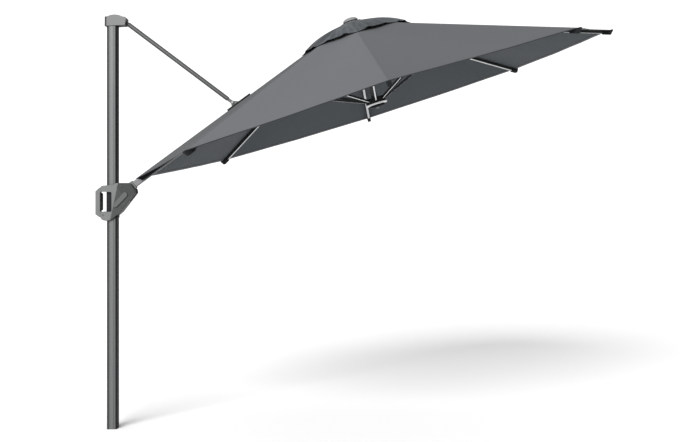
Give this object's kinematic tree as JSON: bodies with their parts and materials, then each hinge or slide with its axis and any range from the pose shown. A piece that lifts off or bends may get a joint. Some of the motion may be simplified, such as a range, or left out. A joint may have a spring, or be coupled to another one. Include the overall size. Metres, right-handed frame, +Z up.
{
  "type": "cantilever parasol",
  "caption": "Side-mast garden parasol: octagonal vented canopy on an arm that slides on the mast, braced by a tie rod; the canopy folds on struts and a runner.",
  "frame": {"origin": "centre of the mast's foot, on the face that stands on the base", "axes": "+Z up the mast, +X from the mast to the canopy's centre, +Y to the left of someone who looks along +X"},
  "size_m": [3.0908, 3, 2.4517],
  "materials": {
    "mast_aluminium": "satin anodised extrusion",
    "arm_aluminium": "satin anodised tube",
    "rib_steel": "dark grey powder coat",
    "steel": "plain",
    "grey_plastic": "fine grained moulding",
    "light_plastic": "fine grained moulding",
    "dark_plastic": "soft black moulding",
    "canopy_fabric": "woven, water repellent"
  },
  "bodies": {
    "mast": {"mast_tube": "mast_aluminium", "mast_foot_plug": "dark_plastic", "mast_cap": "grey_plastic", "tie_pivot_pin": "steel"},
    "tie_rod": {"tie_rod_tube": "arm_aluminium", "tie_rod_eye": "steel", "tie_rod_fork": "steel"},
    "arm": {"arm_tube": "arm_aluminium", "arm_head": "steel", "arm_strut_lug": "grey_plastic", "arm_bracket": "steel", "bracket_pin": "steel", "arm_root_socket": "grey_plastic", "canopy_band_0": "canopy_fabric"},
    "carriage": {"carriage_shell_near": "grey_plastic", "carriage_shell_far": "grey_plastic", "carriage_grip": "dark_plastic", "carriage_liner": "dark_plastic", "carriage_pivot_pin": "steel", "lever_pin": "steel", "carriage_screw_lower": "steel", "carriage_screw_upper": "steel"},
    "release_lever": {"release_lever": "light_plastic"},
    "hub": {"crown_hub": "grey_plastic", "crown_finial": "light_plastic", "centre_pole": "arm_aluminium"},
    "runner": {"runner_hub": "light_plastic", "runner_grip": "dark_plastic"},
    "runner_button": {"runner_button": "light_plastic"},
    "rib_1": {"rib_1": "rib_steel", "canopy_band_1": "canopy_fabric"},
    "rib_2": {"rib_2": "rib_steel", "canopy_band_2": "canopy_fabric"},
    "rib_3": {"rib_3": "rib_steel", "canopy_band_3": "canopy_fabric"},
    "rib_4": {"rib_4": "rib_steel", "canopy_band_4": "canopy_fabric"},
    "rib_5": {"rib_5": "rib_steel", "canopy_band_5": "canopy_fabric"},
    "rib_6": {"rib_6": "rib_steel", "canopy_band_6": "canopy_fabric"},
    "rib_7": {"rib_7": "rib_steel", "canopy_band_7": "canopy_fabric"},
    "strut_0": {"strut_0": "rib_steel"},
    "strut_1": {"strut_1": "rib_steel"},
    "strut_2": {"strut_2": "rib_steel"},
    "strut_3": {"strut_3": "rib_steel"},
    "strut_4": {"strut_4": "rib_steel"},
    "strut_5": {"strut_5": "rib_steel"},
    "strut_6": {"strut_6": "rib_steel"},
    "strut_7": {"strut_7": "rib_steel"},
    "gore_0": {"canopy_gore_0": "canopy_fabric"},
    "gore_1": {"canopy_gore_1": "canopy_fabric"},
    "gore_2": {"canopy_gore_2": "canopy_fabric"},
    "gore_3": {"canopy_gore_3": "canopy_fabric"},
    "gore_4": {"canopy_gore_4": "canopy_fabric"},
    "gore_5": {"canopy_gore_5": "canopy_fabric"},
    "gore_6": {"canopy_gore_6": "canopy_fabric"},
    "gore_7": {"canopy_gore_7": "canopy_fabric"}
  },
  "joints": [
    {"name": "tie_rod_swing", "type": "hinge", "parent": "mast", "child": "tie_rod", "pos_m": [0.044, 0, 2.43], "axis": [0, 1, 0], "range_deg": [-18, 46]},
    {"name": "arm_swing", "type": "hinge", "parent": "tie_rod", "child": "arm", "pos_m": [0.702, 0, 1.935], "axis": [0, 1, 0], "range_deg": [-92, 36]},
    {"name": "carriage_swing", "type": "hinge", "parent": "arm", "child": "carriage", "pos_m": [0.044, 0, 1.44], "axis": [0, 1, 0], "range_deg": [-18, 46]},
    {"name": "release_lever_squeeze", "type": "hinge", "parent": "carriage", "child": "release_lever", "pos_m": [0.08, 0, 1.384], "axis": [0, 1, 0], "range_deg": [0, 16], "stiffness_Nm_per_rad": 0.6, "springref_deg": -8.59},
    {"name": "canopy_fold", "type": "hinge", "parent": "arm", "child": "hub", "pos_m": [1.36689, 0, 2.37957], "axis": [0, 1, 0], "range_deg": [0, 66.9], "deforming": ["canopy_gore_0", "canopy_gore_1", "canopy_gore_2", "canopy_gore_3", "canopy_gore_4", "canopy_gore_5", "canopy_gore_6", "canopy_gore_7"]},
    {"name": "rib_1_fold", "type": "hinge", "parent": "hub", "child": "rib_1", "pos_m": [1.3814, -0.03677, 2.38419], "axis": [0.6738, -0.7071, 0.2145], "range_deg": [0, 66.9]},
    {"name": "rib_2_fold", "type": "hinge", "parent": "hub", "child": "rib_2", "pos_m": [1.41644, -0.052, 2.39535], "axis": [0.9529, 0, 0.3034], "range_deg": [0, 66.9]},
    {"name": "rib_3_fold", "type": "hinge", "parent": "hub", "child": "rib_3", "pos_m": [1.45148, -0.03677, 2.4065], "axis": [0.6738, 0.7071, 0.2145], "range_deg": [0, 66.9]},
    {"name": "rib_4_fold", "type": "hinge", "parent": "hub", "child": "rib_4", "pos_m": [1.46599, 0, 2.41112], "axis": [0, 1, 0], "range_deg": [0, 66.9]},
    {"name": "rib_5_fold", "type": "hinge", "parent": "hub", "child": "rib_5", "pos_m": [1.45148, 0.03677, 2.4065], "axis": [-0.6738, 0.7071, -0.2145], "range_deg": [0, 66.9]},
    {"name": "rib_6_fold", "type": "hinge", "parent": "hub", "child": "rib_6", "pos_m": [1.41644, 0.052, 2.39535], "axis": [-0.9529, 0, -0.3034], "range_deg": [0, 66.9]},
    {"name": "rib_7_fold", "type": "hinge", "parent": "hub", "child": "rib_7", "pos_m": [1.3814, 0.03677, 2.38419], "axis": [-0.6738, -0.7071, -0.2145], "range_deg": [0, 66.9]},
    {"name": "strut_0_knee", "type": "hinge", "parent": "arm", "child": "strut_0", "pos_m": [0.90063, 0, 1.98698], "axis": [0, -1, 0], "range_deg": [-133.8, 0]},
    {"name": "strut_1_knee", "type": "hinge", "parent": "rib_1", "child": "strut_1", "pos_m": [1.07238, -0.43514, 2.04166], "axis": [0.6738, -0.7071, 0.2145], "range_deg": [-133.8, 0]},
    {"name": "strut_2_knee", "type": "hinge", "parent": "rib_2", "child": "strut_2", "pos_m": [1.48701, -0.61538, 2.17367], "axis": [0.9529, 0, 0.3034], "range_deg": [-133.8, 0]},
    {"name": "strut_3_knee", "type": "hinge", "parent": "rib_3", "child": "strut_3", "pos_m": [1.90165, -0.43514, 2.30568], "axis": [0.6738, 0.7071, 0.2145], "range_deg": [-133.8, 0]},
    {"name": "strut_4_knee", "type": "hinge", "parent": "rib_4", "child": "strut_4", "pos_m": [2.0734, 0, 2.36036], "axis": [0, 1, 0], "range_deg": [-133.8, 0]},
    {"name": "strut_5_knee", "type": "hinge", "parent": "rib_5", "child": "strut_5", "pos_m": [1.90165, 0.43514, 2.30568], "axis": [-0.6738, 0.7071, -0.2145], "range_deg": [-133.8, 0]},
    {"name": "strut_6_knee", "type": "hinge", "parent": "rib_6", "child": "strut_6", "pos_m": [1.48701, 0.61538, 2.17367], "axis": [-0.9529, 0, -0.3034], "range_deg": [-133.8, 0]},
    {"name": "strut_7_knee", "type": "hinge", "parent": "rib_7", "child": "strut_7", "pos_m": [1.07238, 0.43514, 2.04166], "axis": [-0.6738, -0.7071, -0.2145], "range_deg": [-133.8, 0]},
    {"name": "runner_foot", "type": "hinge", "parent": "strut_4", "child": "runner", "pos_m": [1.60714, 0, 1.96777], "axis": [0, 1, 0], "range_deg": [0, 66.9]},
    {"name": "gore_0_gather", "type": "hinge", "parent": "hub", "child": "gore_0", "pos_m": [1.36636, -0.02178, 2.37935], "axis": [0.3646, -0.9239, 0.1161], "range_deg": [0, 65.36]},
    {"name": "gore_1_gather", "type": "hinge", "parent": "hub", "child": "gore_1", "pos_m": [1.3957, -0.05257, 2.3887], "axis": [0.8803, -0.3827, 0.2803], "range_deg": [0, 65.36]},
    {"name": "gore_2_gather", "type": "hinge", "parent": "hub", "child": "gore_2", "pos_m": [1.4372, -0.05257, 2.40191], "axis": [0.8803, 0.3827, 0.2803], "range_deg": [0, 65.36]},
    {"name": "gore_3_gather", "type": "hinge", "parent": "hub", "child": "gore_3", "pos_m": [1.46655, -0.02178, 2.41125], "axis": [0.3646, 0.9239, 0.1161], "range_deg": [0, 65.36]},
    {"name": "gore_4_gather", "type": "hinge", "parent": "hub", "child": "gore_4", "pos_m": [1.46655, 0.02178, 2.41125], "axis": [-0.3646, 0.9239, -0.1161], "range_deg": [0, 65.36]},
    {"name": "gore_5_gather", "type": "hinge", "parent": "hub", "child": "gore_5", "pos_m": [1.4372, 0.05257, 2.40191], "axis": [-0.8803, 0.3827, -0.2803], "range_deg": [0, 65.36]},
    {"name": "gore_6_gather", "type": "hinge", "parent": "hub", "child": "gore_6", "pos_m": [1.3957, 0.05257, 2.3887], "axis": [-0.8803, -0.3827, -0.2803], "range_deg": [0, 65.36]},
    {"name": "gore_7_gather", "type": "hinge", "parent": "hub", "child": "gore_7", "pos_m": [1.36636, 0.02178, 2.37935], "axis": [-0.3646, -0.9239, -0.1161], "range_deg": [0, 65.36]},
    {"name": "runner_button_press", "type": "slide", "parent": "runner", "child": "runner_button", "axis": [-0.3034, 0, 0.9529], "range_m": [0, 0.004], "stiffness_N_per_m": 400, "springref_m": -0.003}
  ],
  "couplings": [
    {"joint": "arm_swing", "follows": "tie_rod_swing", "ratio": -2},
    {"joint": "carriage_swing", "follows": "tie_rod_swing", "ratio": 1},
    {"joint": "rib_1_fold", "follows": "canopy_fold", "ratio": 1},
    {"joint": "rib_2_fold", "follows": "canopy_fold", "ratio": 1},
    {"joint": "rib_3_fold", "follows": "canopy_fold", "ratio": 1},
    {"joint": "rib_4_fold", "follows": "canopy_fold", "ratio": 1},
    {"joint": "rib_5_fold", "follows": "canopy_fold", "ratio": 1},
    {"joint": "rib_6_fold", "follows": "canopy_fold", "ratio": 1},
    {"joint": "rib_7_fold", "follows": "canopy_fold", "ratio": 1},
    {"joint": "strut_0_knee", "follows": "canopy_fold", "ratio": -2},
    {"joint": "strut_1_knee", "follows": "canopy_fold", "ratio": -2},
    {"joint": "strut_2_knee", "follows": "canopy_fold", "ratio": -2},
    {"joint": "strut_3_knee", "follows": "canopy_fold", "ratio": -2},
    {"joint": "strut_4_knee", "follows": "canopy_fold", "ratio": -2},
    {"joint": "strut_5_knee", "follows": "canopy_fold", "ratio": -2},
    {"joint": "strut_6_knee", "follows": "canopy_fold", "ratio": -2},
    {"joint": "strut_7_knee", "follows": "canopy_fold", "ratio": -2},
    {"joint": "runner_foot", "follows": "canopy_fold", "ratio": 1},
    {"joint": "gore_0_gather", "follows": "canopy_fold", "ratio": 0.97696},
    {"joint": "gore_1_gather", "follows": "canopy_fold", "ratio": 0.97696},
    {"joint": "gore_2_gather", "follows": "canopy_fold", "ratio": 0.97696},
    {"joint": "gore_3_gather", "follows": "canopy_fold", "ratio": 0.97696},
    {"joint": "gore_4_gather", "follows": "canopy_fold", "ratio": 0.97696},
    {"joint": "gore_5_gather", "follows": "canopy_fold", "ratio": 0.97696},
    {"joint": "gore_6_gather", "follows": "canopy_fold", "ratio": 0.97696},
    {"joint": "gore_7_gather", "follows": "canopy_fold", "ratio": 0.97696}
  ]
}
